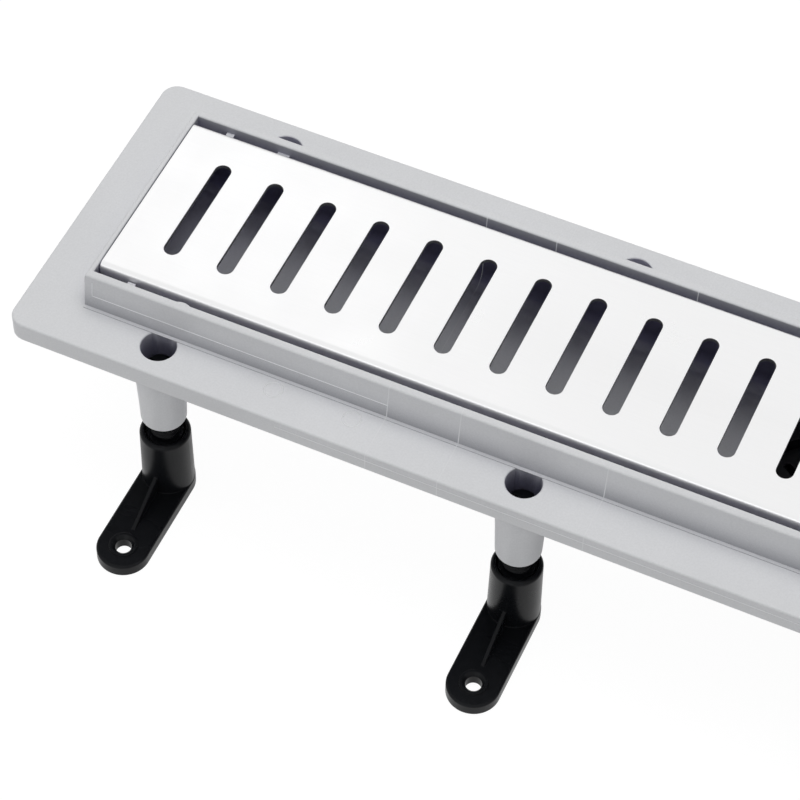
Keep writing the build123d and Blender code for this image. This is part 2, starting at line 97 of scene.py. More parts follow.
# Noise scales in grains a metre, along each axis where three are given
PLASTIC_CLOUD = 28
PLASTIC_SPECKLE = 1400
PLASTIC_GRAIN = 3200
PLASTIC_FLOW = (14, 60, 60)
STEEL_LINES = (60, 5200, 5200)
STEEL_CLOUD = 35
RUBBER_BLOOM = 160
RUBBER_GRAIN = 4000
NOISE_BAND = (0.3, 0.7)

# Relief: strength, and depth in metres
LINE_RELIEF = (0.3, 0.1 * MM)
PLASTIC_RELIEF = (0.18, 0.06 * MM)
STEEL_RELIEF = (0.05, 0.02 * MM)
RUBBER_RELIEF = (0.2, 0.05 * MM)
EDGE_SAMPLES = 6

# Looks of each material
PATCH_SHARE = 0.4
PLASTIC_SHINE = (-0.05, 0.06)
# Painted highlight on the parting lines: how much lighter the line is painted, and its share from
# level to upright faces
LINE_HIGHLIGHT_LIGHTNESS = 1.12
LINE_HIGHLIGHT_SHOWING = (0.3, 1)
# Painted highlight: how much lighter than the channel the raised mould marks are painted
MARK_HIGHLIGHT_LIGHTNESS = 1.25
STEEL_TONES = (0.985, 1.015)
STEEL_SHINE = (-0.03, 0.04)
STEEL_WALL_DULLNESS = 0.4
STEEL_EDGE = 0.25 * MM
STEEL_ANISOTROPY = 0.35
# Painted shade on the grate's upright faces inside the folded edges, such as the slot walls: where
# it starts and is full across the drain, and its tone
PUNCHED_SIDES = (GRATE_SIDE - 2 * MM, GRATE_SIDE - 4 * MM)
SLOT_WALL_SHADE_TONE = (0.22, 0.22, 0.235)
RUBBER_TONES = (0.8, 1.4)
RUBBER_ROUGHNESS = (0.62, 0.78)

# Meshes of the threads and mould marks
SMOOTH_ANGLE = math.radians(30)
GROOVE_SLOPE = 1.6
GROOVE_LAND = 0.3
BOTTOM_HOLE_SHARE = 0.05
TOP_HOLE_SHARE = 0.06
SLOT_WALL = 0.1 * MM
BEAD_POINTS = 5
PIN_POINTS = 40
SKIRT_STEP = 8 * MM
WALL_STEP = 3 * MM
WALL_LINE_INSET = 0.4 * MM

# Floor and camera
FLOOR_LEVEL = -0.1 * MM
FLOOR_COLOUR = (0.86, 0.86, 0.86, 1)
FLOOR_GLOW = 1.08
SENSOR_WIDTH = 36
CLIP_START = 0.05


def coordinates(nodes, links, scale=(1, 1, 1)):
    """Object coordinates, stretched by a Mapping node."""
    place = nodes.new("ShaderNodeTexCoord")
    stretch = nodes.new("ShaderNodeMapping")
    stretch.inputs["Scale"].default_value = scale
    links.new(place.outputs["Object"], stretch.inputs["Vector"])
    return stretch.outputs["Vector"]


def noise(nodes, links, vector, scale, detail=4.0, roughness=0.55):
    """A noise value between 0 and 1 whose grain is about one over scale, in metres."""
    grain = nodes.new("ShaderNodeTexNoise")
    grain.inputs["Scale"].default_value = scale
    grain.inputs["Detail"].default_value = detail
    grain.inputs["Roughness"].default_value = roughness
    links.new(vector, grain.inputs["Vector"])
    return grain.outputs["Fac"]


def ramp(nodes, links, value, start, end, low=0.0, high=1.0, kind="LINEAR"):
    """Low where a value is at start, high where it is at end, and even or smooth in between."""
    band = nodes.new("ShaderNodeMapRange")
    band.interpolation_type = kind
    band.inputs["From Min"].default_value = start
    band.inputs["From Max"].default_value = end
    band.inputs["To Min"].default_value = low
    band.inputs["To Max"].default_value = high
    links.new(value, band.inputs["Value"])
    return band.outputs["Result"]


def spread(nodes, links, value, low, high):
    """Maps the middle band of a noise value, or of a share, onto low to high."""
    return ramp(nodes, links, value, *NOISE_BAND, low, high)


def around(middle, offsets):
    """A low and a high value either side of a middle one."""
    return tuple(middle + offset for offset in offsets)


def two_tone(nodes, links, value, dark, light):
    """A colour between dark and light, chosen by a value from 0 to 1."""
    blend = nodes.new("ShaderNodeMix")
    blend.data_type = "RGBA"
    blend.inputs["A"].default_value = (*dark, 1)
    blend.inputs["B"].default_value = (*light, 1)
    links.new(value, blend.inputs["Factor"])
    return blend.outputs["Result"]


def relief(nodes, links, height, strength, distance, under=None):
    """Bump from a height value, over another normal where one is given."""
    bump = nodes.new("ShaderNodeBump")
    bump.inputs["Strength"].default_value = strength
    bump.inputs["Distance"].default_value = distance
    links.new(height, bump.inputs["Height"])
    if under is not None:
        links.new(under, bump.inputs["Normal"])
    return bump.outputs["Normal"]


def softened_edge(nodes, radius):
    """A normal that rounds sharp edges by a small radius, as a moulded or deburred edge is."""
    bevel = nodes.new("ShaderNodeBevel")
    bevel.samples = EDGE_SAMPLES
    bevel.inputs["Radius"].default_value = radius
    return bevel.outputs["Normal"]


def shaded(colour, amount):
    """The colour made lighter or darker by a factor."""
    return tuple(min(1.0, part * amount) for part in colour)


def start_material(name):
    """A new node material and its principled shader."""
    material = bpy.data.materials.new(name)
    material.use_nodes = True
    tree = material.node_tree
    return material, tree.nodes, tree.links, tree.nodes["Principled BSDF"]


def changed(nodes, links, operation, value, number=0.0):
    """A value put through a Math node's operation, with a number where it takes a second one."""
    step = nodes.new("ShaderNodeMath")
    step.operation = operation
    step.inputs[1].default_value = number
    links.new(value, step.inputs[0])
    return step.outputs[0]


def joined(nodes, links, operation, first, second):
    """Two values put together by a Math node's operation."""
    both = nodes.new("ShaderNodeMath")
    both.operation = operation
    links.new(first, both.inputs[0])
    links.new(second, both.inputs[1])
    return both.outputs[0]


def rest_of_one(nodes, links, value):
    """One less a value."""
    rest = nodes.new("ShaderNodeMath")
    rest.operation = "SUBTRACT"
    rest.inputs[0].default_value = 1.0
    links.new(value, rest.inputs[1])
    return rest.outputs[0]


def blended(nodes, links, colour, amount, tone, kind="MULTIPLY"):
    """The colour multiplied by a tone, or mixed with it, as far as the amount says."""
    blend = nodes.new("ShaderNodeMix")
    blend.data_type = "RGBA"
    blend.blend_type = kind
    blend.inputs["B"].default_value = (*tone, 1)
    links.new(amount, blend.inputs["Factor"])
    links.new(colour, blend.inputs["A"])
    return blend.outputs["Result"]


def hiddenness(nodes, links, reach):
    """The share of the open that other surfaces within reach hide."""
    corner = nodes.new("ShaderNodeAmbientOcclusion")
    corner.samples = HIDING_SAMPLES
    corner.inputs["Distance"].default_value = reach
    return rest_of_one(nodes, links, corner.outputs["AO"])


def steepness(nodes, links):
    """One on upright faces, zero on level ones."""
    facing = nodes.new("ShaderNodeNewGeometry")
    split = nodes.new("ShaderNodeSeparateXYZ")
    links.new(facing.outputs["True Normal"], split.inputs[0])
    return rest_of_one(nodes, links, changed(nodes, links, "ABSOLUTE", split.outputs["Z"]))


def from_middle(nodes, links, axis):
    """How far a point lies from the drain's middle along an axis."""
    place = nodes.new("ShaderNodeTexCoord")
    split = nodes.new("ShaderNodeSeparateXYZ")
    links.new(place.outputs["Object"], split.inputs[0])
    return changed(nodes, links, "ABSOLUTE", split.outputs[axis])


def painted_trough_shade(nodes, links, upright):
    """The share of the shade painted into the trough's colour: none at the grate's level, all of it
    low inside.

    It is one on the inner walls and long corners, and less on the trough's floor.
    """
    across = ramp(nodes, links, from_middle(nodes, links, "Y"), *TROUGH_SIDES)
    along = ramp(nodes, links, from_middle(nodes, links, "X"), *TROUGH_ENDS)
    low = ramp(nodes, links, from_middle(nodes, links, "Z"), *TROUGH_LEVELS)
    corner = ramp(nodes, links, from_middle(nodes, links, "Y"), *TROUGH_CORNERS)
    steep = ramp(nodes, links, upright, *TROUGH_STEEPNESS)
    facing = joined(nodes, links, "MAXIMUM", steep, corner)
    inside = joined(nodes, links, "MULTIPLY", across, along)
    return joined(nodes, links, "MULTIPLY", facing, joined(nodes, links, "MULTIPLY", inside, low))


def with_painted_shade(nodes, links, colour, depth):
    """The colour with painted shade: darker on walls in corners and gaps, and darker and cooler in
    deep hollows and down inside the trough.
    """
    upright = steepness(nodes, links)
    deep = hiddenness(nodes, links, DEEP_REACH)
    close = hiddenness(nodes, links, CLOSE_REACH)
    hidden = ramp(nodes, links, close, *CORNER_SHARES)
    corners = joined(nodes, links, "MULTIPLY", hidden, upright)
    ledges = ramp(nodes, links, close, *LEDGE_SHARES)
    shade = joined(nodes, links, "MAXIMUM", corners, ledges)
    gaps = blended(nodes, links, colour, shade, [1 - depth * part for part in CORNER_SHADE_TINT])
    trough = blended(nodes, links, gaps, painted_trough_shade(nodes, links, upright), TROUGH_SHADE_TONE)
    deepest = changed(nodes, links, "POWER", deep, DEEP_POWER)
    return blended(nodes, links, trough, deepest, DEEP_SHADE_TONE)


def parting_lines(nodes, links, places, half_width):
    """One on thin bands across X at places on both sides of the middle, zero beside them."""
    along = from_middle(nodes, links, "X")
    bands = []
    for x in places:
        away = changed(nodes, links, "ABSOLUTE", changed(nodes, links, "SUBTRACT", along, x))
        bands.append(ramp(nodes, links, away, half_width, half_width / 3, kind="SMOOTHSTEP"))
    total = bands[0]
    for band in bands[1:]:
        total = joined(nodes, links, "MAXIMUM", total, band)
    return total


def moulded_plastic(
    name, colour, roughness, edge, mottle,
    gloss=0.42, line_places=(), line_width=0.0, painted_shade_depth=0.0,
):
    """Injection-moulded plastic: cloudy colour, spark-eroded grain, soft edges, parting lines with
    a painted highlight, and painted shade in corners and hollows where a depth is given.
    """
    material, nodes, links, shader = start_material(name)
    place = coordinates(nodes, links)
    cloud = noise(nodes, links, place, PLASTIC_CLOUD, detail=3)
    speckle = noise(nodes, links, place, PLASTIC_SPECKLE, detail=2)
    grain = noise(nodes, links, place, PLASTIC_GRAIN, detail=2)
    flow = noise(nodes, links, coordinates(nodes, links, PLASTIC_FLOW), 1, detail=4)
    patches = spread(nodes, links, cloud, 0, PATCH_SHARE)
    specks = spread(nodes, links, speckle, 0, 1 - PATCH_SHARE)
    tone = joined(nodes, links, "ADD", patches, specks)
    dark, light = shaded(colour, 1 - mottle), shaded(colour, 1 + mottle)
    cloudy = two_tone(nodes, links, tone, dark, light)
    shine = spread(nodes, links, flow, *around(roughness, PLASTIC_SHINE))
    links.new(shine, shader.inputs["Roughness"])
    surface = softened_edge(nodes, edge)
    # Painted shade in corners, gaps, deep hollows and down inside the trough
    if painted_shade_depth:
        cloudy = with_painted_shade(nodes, links, cloudy, painted_shade_depth)
    # Parting lines: a raised relief, and a painted highlight that lightens the line's colour, most
    # on upright faces, laid over the painted shade
    if line_places:
        line = parting_lines(nodes, links, line_places, line_width / 2)
        upright = spread(nodes, links, steepness(nodes, links), *LINE_HIGHLIGHT_SHOWING)
        highlight_showing = joined(nodes, links, "MULTIPLY", line, upright)
        cloudy = blended(nodes, links, cloudy, highlight_showing, shaded(colour, LINE_HIGHLIGHT_LIGHTNESS), "MIX")
        surface = relief(nodes, links, line, *LINE_RELIEF, surface)
    links.new(cloudy, shader.inputs["Base Color"])
    links.new(relief(nodes, links, grain, *PLASTIC_RELIEF, surface), shader.inputs["Normal"])
    shader.inputs["Specular IOR Level"].default_value = gloss
    return material


def satin_steel(name, colour, roughness):
    """Rolled stainless sheet: fine lines along the drain, soft clouds, duller upright faces, and
    painted shade on the upright faces inside the folded edges, such as the slot walls.
    """
    material, nodes, links, shader = start_material(name)
    along = coordinates(nodes, links, STEEL_LINES)
    lines = noise(nodes, links, along, 1, detail=5, roughness=0.65)
    cloud = noise(nodes, links, coordinates(nodes, links), STEEL_CLOUD, detail=3)
    tone = spread(nodes, links, lines, 0, 1)
    upright = steepness(nodes, links)
    # Painted shade: upright faces inside the folded edges, such as the slot walls, are darkened
    within = ramp(nodes, links, from_middle(nodes, links, "Y"), *PUNCHED_SIDES)
    slot_wall_shade = joined(nodes, links, "MULTIPLY", upright, within)
    dark, light = (shaded(colour, amount) for amount in STEEL_TONES)
    lined = two_tone(nodes, links, tone, dark, light)
    links.new(blended(nodes, links, lined, slot_wall_shade, SLOT_WALL_SHADE_TONE), shader.inputs["Base Color"])
    cloudy = spread(nodes, links, cloud, *around(roughness, STEEL_SHINE))
    folds = spread(nodes, links, upright, 0, STEEL_WALL_DULLNESS)
    links.new(joined(nodes, links, "ADD", cloudy, folds), shader.inputs["Roughness"])
    surface = softened_edge(nodes, STEEL_EDGE)
    links.new(relief(nodes, links, lines, *STEEL_RELIEF, surface), shader.inputs["Normal"])
    shader.inputs["Metallic"].default_value = 1.0
    shader.inputs["Anisotropic"].default_value = STEEL_ANISOTROPY
    return material


def seal_rubber(name, colour):
    """Black rubber with a dusty bloom and a fine grain."""
    material, nodes, links, shader = start_material(name)
    place = coordinates(nodes, links)
    bloom = noise(nodes, links, place, RUBBER_BLOOM, detail=4)
    grain = noise(nodes, links, place, RUBBER_GRAIN, detail=2)
    tone = spread(nodes, links, bloom, 0, 1)
    dark, light = (shaded(colour, amount) for amount in RUBBER_TONES)
    links.new(two_tone(nodes, links, tone, dark, light), shader.inputs["Base Color"])
    links.new(spread(nodes, links, bloom, *RUBBER_ROUGHNESS), shader.inputs["Roughness"])
    links.new(relief(nodes, links, grain, *RUBBER_RELIEF), shader.inputs["Normal"])
    return material


def dress(node, material):
    """Gives a CAD node a material in every slot."""
    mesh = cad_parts[node].data
    if not mesh.materials:
        mesh.materials.append(material)
    for index in range(len(mesh.materials)):
        mesh.materials[index] = material


def grid_faces(rows, columns, closed_columns):
    """Quads between neighbouring points of a rows by columns grid, wrapping round where closed."""
    last = columns if closed_columns else columns - 1
    row, column = np.meshgrid(np.arange(rows - 1), np.arange(last), indexing="ij")
    following = (column + 1) % columns
    corners = (
        row * columns + column,
        row * columns + following,
        (row + 1) * columns + following,
        (row + 1) * columns + column,
    )
    return np.stack([corner.ravel() for corner in corners], axis=1)


def fan(centre, ring):
    """Triangles from a centre point to each side of a ring of points."""
    return np.stack([np.full(len(ring), centre), ring, np.roll(ring, -1)], axis=1)


def mesh_piece(name, points, faces, material, body):
    """A mesh object at the origin from an array of points and lists of faces, riding on a body."""
    mesh = bpy.data.meshes.new(name)
    mesh.from_pydata(points, [], faces)
    mesh.validate()
    mesh.shade_smooth()
    mesh.set_sharp_from_angle(angle=SMOOTH_ANGLE)
    mesh.materials.append(material)
    piece = bpy.data.objects.new(name, mesh)
    bpy.context.scene.collection.objects.link(piece)
    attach(piece, body)
    return piece


def bead(path, normals, width, height, closed):
    """Points and faces of a fine bead: a low rounded profile carried along a path on a surface.

    At each path point the profile lies across the path: its top half is a half ellipse of the given
    width and height, and its lower point is sunk into the surface. A closed path joins its last
    point to its first, and an open one is closed by a fan at each end.
    """
    path = np.asarray(path, dtype=float)
    normals = np.asarray(normals, dtype=float)
    if closed:
        along = np.roll(path, -1, axis=0) - np.roll(path, 1, axis=0)
    else:
        along = np.gradient(path, axis=0)
    across = np.cross(along, normals)
    across /= np.linalg.norm(across, axis=1, keepdims=True)
    turn = np.linspace(0, math.pi, BEAD_POINTS)
    side = np.append(np.cos(turn), 0) * width / 2
    rise = np.append(np.sin(turn), -1) * height
    offsets = side[None, :, None] * across[:, None] + rise[None, :, None] * normals[:, None]
    points = path[:, None] + offsets
    rows, columns = len(path), len(side)
    flat = points.reshape(-1, 3)
    quads = grid_faces(rows, columns, True)
    if closed:
        ring = np.arange(columns)
        first = np.roll(ring, -1)
        last_row = (rows - 1) * columns
        seam = np.stack([last_row + ring, last_row + first, first, ring], axis=1)
        return flat, np.concatenate([quads, seam]).tolist()
    start = np.arange(columns)[::-1]
    end = np.arange((rows - 1) * columns, rows * columns)
    flat = np.concatenate([flat, path[:1], path[-1:]])
    caps = fan(rows * columns, start).tolist() + fan(rows * columns + 1, end).tolist()
    return flat, quads.tolist() + caps


def gather(parts):
    """Joins several (points, faces) pairs into one."""
    points, faces, shift = [], [], 0
    for some_points, some_faces in parts:
        points.append(some_points)
        faces += [[corner + shift for corner in face] for face in some_faces]
        shift += len(some_points)
    return np.concatenate(points), faces


def resampled(corners, normals, step):
    """The path through the corners with points every step or so, and the unit normal at each."""
    places, facing = [np.array(corners[:1])], [np.array(normals[:1], dtype=float)]
    for start, end, normal in zip(corners[:-1], corners[1:], normals):
        count = max(2, int(np.linalg.norm(np.subtract(end, start)) / step) + 1)
        places.append(np.linspace(start, end, count)[1:])
        facing.append(np.tile(np.array(normal, dtype=float), (count - 1, 1)))
    facing = np.concatenate(facing)
    return np.concatenate(places), facing / np.linalg.norm(facing, axis=1, keepdims=True)


def screw_surface(low, high, thread):
    """Points and faces of one leg screw, as a grid round its axis.

    Each row is a ring of radius r at height z, going up the journal, out round the collar, up the
    thread and in over the top. On the thread the radius is the outer radius less a groove whose
    depth is a clipped triangle wave of (z over pitch less the angle's share of a turn). On the top
    face the height drops where the point lies inside the straight slot for a driver.
    """
    centre = (low + high) / 2
    collar_bottom = low.z + thread.journal_length
    collar_top = collar_bottom + thread.collar_height
    collar_radius = (high.x - low.x) / 2
    crown = high.z - thread.tip_chamfer
    turns = (crown - collar_top) / thread.pitch
    rise = np.linspace(collar_top, crown, int(turns * thread.rows_per_turn))
    top_hole = thread.radius * TOP_HOLE_SHARE
    rings_in = np.linspace(thread.radius - thread.tip_chamfer, top_hole, thread.top_rings)
    plain_radii = [
        thread.journal_radius * BOTTOM_HOLE_SHARE,
        thread.journal_radius,
        thread.journal_radius,
        collar_radius,
        collar_radius,
    ]
    plain_heights = [low.z, low.z, collar_bottom, collar_bottom, collar_top]
    radius = np.concatenate([plain_radii, np.full(len(rise), thread.radius), rings_in])
    height = np.concatenate([plain_heights, rise, np.full(len(rings_in), high.z)])
    rows = len(radius)
    row = np.arange(rows)[:, None]
    thread_start = len(plain_radii)
    thread_end = thread_start + len(rise)
    on_thread = (row >= thread_start) & (row < thread_end)
    angle = np.linspace(0, 2 * math.pi, thread.sides, endpoint=False)
    turn = np.mod(height[:, None] / thread.pitch - angle[None] / (2 * math.pi), 1)
    groove = np.clip(GROOVE_SLOPE * (1 - np.abs(2 * turn - 1)) - GROOVE_LAND, 0, 1)
    fade = np.clip((crown - height) / thread.pitch, 0, 1)
    reach = radius[:, None] - np.where(on_thread, thread.depth * groove * fade[:, None], 0)
    x = reach * np.cos(angle)
    y = reach * np.sin(angle)
    in_slot = np.clip((thread.slot_width / 2 - np.abs(y)) / SLOT_WALL + 0.5, 0, 1)
    z = height[:, None] - np.where(row >= thread_end, in_slot * thread.slot_depth, 0)
    points = np.stack([x + centre.x, y + centre.y, z], axis=2).reshape(-1, 3)
    ends = np.array([
        [centre.x, centre.y, low.z],
        [centre.x, centre.y, high.z - thread.slot_depth],
    ])
    bottom = np.arange(thread.sides)[::-1]
    top = np.arange((rows - 1) * thread.sides, rows * thread.sides)
    caps = fan(rows * thread.sides, bottom).tolist() + fan(rows * thread.sides + 1, top).tolist()
    return np.concatenate([points, ends]), grid_faces(rows, thread.sides, True).tolist() + caps


def skirt_line(marks, side):
    """Points and faces of the raised line along the skirt of one side."""
    height = RIM_TOP - marks.rim_rise - marks.skirt_line_drop
    ends = [(end * marks.skirt_line_reach, side * FLANGE_SIDE, height) for end in (-1, 1)]
    path, normals = resampled(ends, [(0, side, 0)], SKIRT_STEP)
    return bead(path, normals, marks.bead_width, marks.bead_height, False)


def wall_line(marks, side, end):
    """Points and faces of the raised line on the rim's wall at one corner: down, then inwards."""
    lean = marks.wall_lean
    low_y = side * (marks.rim_half_width + lean * marks.wall_line_drop)
    high_y = side * (marks.rim_half_width + lean * marks.wall_line_start)
    corner_x = end * (GRATE_END - WALL_LINE_INSET)
    inner_x = end * (GRATE_END - marks.lines_from_grate_end[0])
    corners = [
        (corner_x, high_y, RIM_TOP - marks.wall_line_start),
        (corner_x, low_y, RIM_TOP - marks.wall_line_drop),
        (inner_x, low_y, RIM_TOP - marks.wall_line_drop),
    ]
    path, normals = resampled(corners, [(0, side, lean)] * 2, WALL_STEP)
    return bead(path, normals, marks.bead_width, marks.bead_height, False)


def pin_ring(marks, side, end, from_end):
    """Points and faces of the raised ring that one ejector pin leaves on the flange."""
    angle = np.linspace(0, 2 * math.pi, PIN_POINTS, endpoint=False)
    ring = np.stack([
        end * (GRATE_END - from_end) + marks.pin_radius * np.cos(angle),
        side * marks.pin_offset + marks.pin_radius * np.sin(angle),
        np.full(len(angle), RIM_TOP - marks.rim_rise),
    ], axis=1)
    up = np.tile((0.0, 0.0, 1.0), (len(angle), 1))
    return bead(ring, up, marks.bead_width, marks.pin_height, True)


class DrainColours(bpy.types.PropertyGroup):
    channel: FloatVectorProperty(
        name="Channel plastic",
        description="Light grey of the channel moulding",
        subtype="COLOR",
        default=(0.755, 0.762, 0.777),
    )
    steel: FloatVectorProperty(
        name="Grate steel",
        description="Satin stainless steel of the grate",
        subtype="COLOR",
        default=(0.86, 0.86, 0.863),
    )
    feet: FloatVectorProperty(
        name="Leg plastic",
        description="Black plastic of the screws and feet",
        subtype="COLOR",
        default=(0.006, 0.0066, 0.008),
    )
    trap: FloatVectorProperty(
        name="Trap plastic",
        description="Black plastic of the trap and outlet",
        subtype="COLOR",
        default=(0.010, 0.010, 0.012),
    )
    seals: FloatVectorProperty(
        name="Seal rubber",
        description="Black rubber of the gaskets and seals",
        subtype="COLOR",
        default=(0.012, 0.012, 0.012),
    )


class DrainThread(bpy.types.PropertyGroup):
    pitch: FloatProperty(
        name="Pitch",
        description="Rise of the thread in one turn",
        default=2.0 * MM,
        unit="LENGTH",
    )
    depth: FloatProperty(
        name="Depth",
        description="Depth of the groove",
        default=1.0 * MM,
        unit="LENGTH",
    )
    radius: FloatProperty(
        name="Radius",
        description="Outer radius of the thread",
        default=5.0 * MM,
        unit="LENGTH",
    )
    journal_radius: FloatProperty(
        name="Journal radius",
        description="Plain end that turns in the foot",
        default=4.3 * MM,
        unit="LENGTH",
    )
    journal_length: FloatProperty(
        name="Journal length",
        description="Length of the plain end",
        default=20.0 * MM,
        unit="LENGTH",
    )
    collar_height: FloatProperty(
        name="Collar height",
        description="Thickness of the collar that rests in the foot",
        default=2.0 * MM,
        unit="LENGTH",
    )
    tip_chamfer: FloatProperty(
        name="Tip chamfer",
        description="Slope at the top of the thread",
        default=0.8 * MM,
        unit="LENGTH",
    )
    slot_width: FloatProperty(
        name="Slot width",
        description="Width of the driver slot",
        default=1.6 * MM,
        unit="LENGTH",
    )
    slot_depth: FloatProperty(
        name="Slot depth",
        description="Depth of the driver slot",
        default=2.5 * MM,
        unit="LENGTH",
    )
    sides: IntProperty(
        name="Sides",
        description="Points round the screw",
        default=48,
        min=12,
    )
    rows_per_turn: IntProperty(
        name="Rows a turn",
        description="Rings of points in one turn of thread",
        default=10,
        min=4,
    )
    top_rings: IntProperty(
        name="Top rings",
        description="Rings of points over the top face",
        default=12,
        min=3,
    )


class DrainMarks(bpy.types.PropertyGroup):
    lines_from_grate_end: FloatVectorProperty(
        name="Parting lines",
        description="Where the parting lines cross, from the grate's end",
        size=3,
        unit="LENGTH",
        default=(0.1100, 0.1358, 0.1873),
    )
    line_width: FloatProperty(
        name="Line width",
        description="Width of a parting line",
        default=0.5 * MM,
        unit="LENGTH",
    )
    bead_width: FloatProperty(
        name="Bead width",
        description="Width of a raised mould mark",
        default=0.42 * MM,
        unit="LENGTH",
    )
    bead_height: FloatProperty(
        name="Bead height",
        description="How far a raised mould mark stands out",
        default=0.14 * MM,
        unit="LENGTH",
    )
    rim_rise: FloatProperty(
        name="Rim rise",
        description="Height of the rim over the flange",
        default=14.0 * MM,
        unit="LENGTH",
    )
    rim_half_width: FloatProperty(
        name="Rim half width",
        description="From the middle to the rim's outer edge at the top",
        default=41.9 * MM,
        unit="LENGTH",
    )
    wall_lean: FloatProperty(
        name="Wall lean",
        description="How far the wall leans out for its height",
        default=1.8 / 14.0,
    )
    wall_line_start: FloatProperty(
        name="Wall line start",
        description="Top of the wall line's short stroke, below the rim",
        default=2.5 * MM,
        unit="LENGTH",
    )
    wall_line_drop: FloatProperty(
        name="Wall line drop",
        description="Height of the wall line, below the rim",
        default=8.6 * MM,
        unit="LENGTH",
    )
    skirt_line_drop: FloatProperty(
        name="Skirt line drop",
        description="Height of the skirt line, below the flange",
        default=3.3 * MM,
        unit="LENGTH",
    )
    skirt_line_reach: FloatProperty(
        name="Skirt line reach",
        description="Half the length of the skirt line",
        default=172.0 * MM,
        unit="LENGTH",
    )
    pins_from_grate_end: FloatVectorProperty(
        name="Pin marks",
        description="Where the pin marks lie, from the grate's end",
        size=2,
        unit="LENGTH",
        default=(0.0713, 0.1000),
    )
    pin_offset: FloatProperty(
        name="Pin offset",
        description="From the middle to the row of pin marks",
        default=49.3 * MM,
        unit="LENGTH",
    )
    pin_radius: FloatProperty(
        name="Pin radius",
        description="Radius of an ejector pin mark",
        default=3.1 * MM,
        unit="LENGTH",
    )
    pin_height: FloatProperty(
        name="Pin mark height",
        description="How far the ring of a pin mark stands out",
        default=0.012 * MM,
        unit="LENGTH",
    )


class DrainStage(bpy.types.PropertyGroup):
    camera_place: FloatVectorProperty(
        name="Camera place",
        description="Where the camera stands",
        subtype="TRANSLATION",
        unit="LENGTH",
        default=(0.0966507, -0.5792821, 0.8567857),
    )
    azimuth: FloatProperty(
        name="Azimuth",
        description="Turn of the view from +Y towards +X",
        subtype="ANGLE",
        default=math.radians(-23.32333),
    )
    elevation: FloatProperty(
        name="Elevation",
        description="Camera height above the horizon",
        subtype="ANGLE",
        default=math.radians(52.78230),
    )
    roll: FloatProperty(
        name="Roll",
        description="Turn of the picture about its centre",
        subtype="ANGLE",
        default=math.radians(1.36710),
    )
    lens: FloatProperty(
        name="Lens",
        description="Focal length on a 36 mm sensor",
        default=132.9586,
    )
    floor_size: FloatProperty(
        name="Floor size",
        description="Side of the square floor",
        default=6.0,
        unit="LENGTH",
    )
    overhead: FloatProperty(
        name="Overhead light",
        description="Power of the large light above",
        default=10.2,
    )
    side_light: FloatProperty(
        name="Side light",
        description="Power of the light on the near side",
        default=2.2,
    )
    grate_light: FloatProperty(
        name="Grate light",
        description="Power of the light that shows in the grate",
        default=0.25,
    )
    sky: FloatProperty(
        name="Sky",
        description="Strength of the even light all round",
        default=0.3,
    )
    shadow_share: FloatProperty(
        name="Floor shadow",
        description="Share of the floor's look that takes shadow",
        subtype="FACTOR",
        default=0.11,
    )


class DrainSettings(bpy.types.PropertyGroup):
    colours: PointerProperty(type=DrainColours)
    thread: PointerProperty(type=DrainThread)
    marks: PointerProperty(type=DrainMarks)
    stage: PointerProperty(type=DrainStage)
    with_marks: BoolProperty(
        name="Mould marks",
        description="Adds the raised lines and pin marks",
        default=True,
    )


class DRAIN_OT_channel(bpy.types.Operator):
    """Gives the channel its moulded grey plastic"""

    bl_idname = "drain.channel"
    bl_label = "Channel"

    def execute(self, context):
        settings = context.scene.drain
        marks = settings.marks
        material = moulded_plastic(
            "moulded_grey",
            settings.colours.channel,
            roughness=0.46,
            edge=0.35 * MM,
            mottle=0.045,
            line_places=[GRATE_END - from_end for from_end in marks.lines_from_grate_end],
            line_width=marks.line_width,
            # How dark the painted shade is in corners, gaps, deep hollows and inside the trough
            painted_shade_depth=0.58,
        )
        dress("channel_body", material)
        return {"FINISHED"}


class DRAIN_OT_mould_marks(bpy.types.Operator):
    """Adds the raised lines and pin rings that the mould leaves on the channel"""

    bl_idname = "drain.mould_marks"
    bl_label = "Mould marks"

    def execute(self, context):
        settings = context.scene.drain
        marks = settings.marks
        # The raised marks are the channel's grey painted lighter, a painted highlight on the lines
        # and rings
        material = moulded_plastic(
            "grey_marks_painted_highlight",
            shaded(settings.colours.channel, MARK_HIGHLIGHT_LIGHTNESS),
            roughness=0.4,
            edge=0.1 * MM,
            mottle=0.01,
        )
        parts = []
        for side in (-1, 1):
            parts.append(skirt_line(marks, side))
            for end in (-1, 1):
                parts.append(wall_line(marks, side, end))
                for from_end in marks.pins_from_grate_end:
                    parts.append(pin_ring(marks, side, end, from_end))
        points, faces = gather(parts)
        mesh_piece("mould_marks", points, faces, material, "channel")
        return {"FINISHED"}


class DRAIN_OT_grate(bpy.types.Operator):
    """Gives the grate its satin steel"""

    bl_idname = "drain.grate"
    bl_label = "Grate"

    def execute(self, context):
        colours = context.scene.drain.colours
        dress("grate", satin_steel("satin_steel", colours.steel, roughness=0.3))
        return {"FINISHED"}


class DRAIN_OT_legs(bpy.types.Operator):
    """Cuts the threads of the leg screws and gives the feet their black plastic"""

    bl_idname = "drain.legs"
    bl_label = "Legs"

    def execute(self, context):
        settings = context.scene.drain
        material = moulded_plastic(
            "black_leg_plastic",
            settings.colours.feet,
            roughness=0.3,
            edge=0.5 * MM,
            mottle=0.12,
            gloss=0.12,
        )
        for number in LEG_NUMBERS:
            low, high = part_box(f"leg_screw_{number}")
            points, faces = screw_surface(low, high, settings.thread)
            name, body = f"threaded_leg_{number}", f"screw_{number}"
            piece = mesh_piece(name, points, faces, material, body)
            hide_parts(f"leg_screw_{number}")
            dress(f"foot_{number}", material)
        return {"FINISHED"}


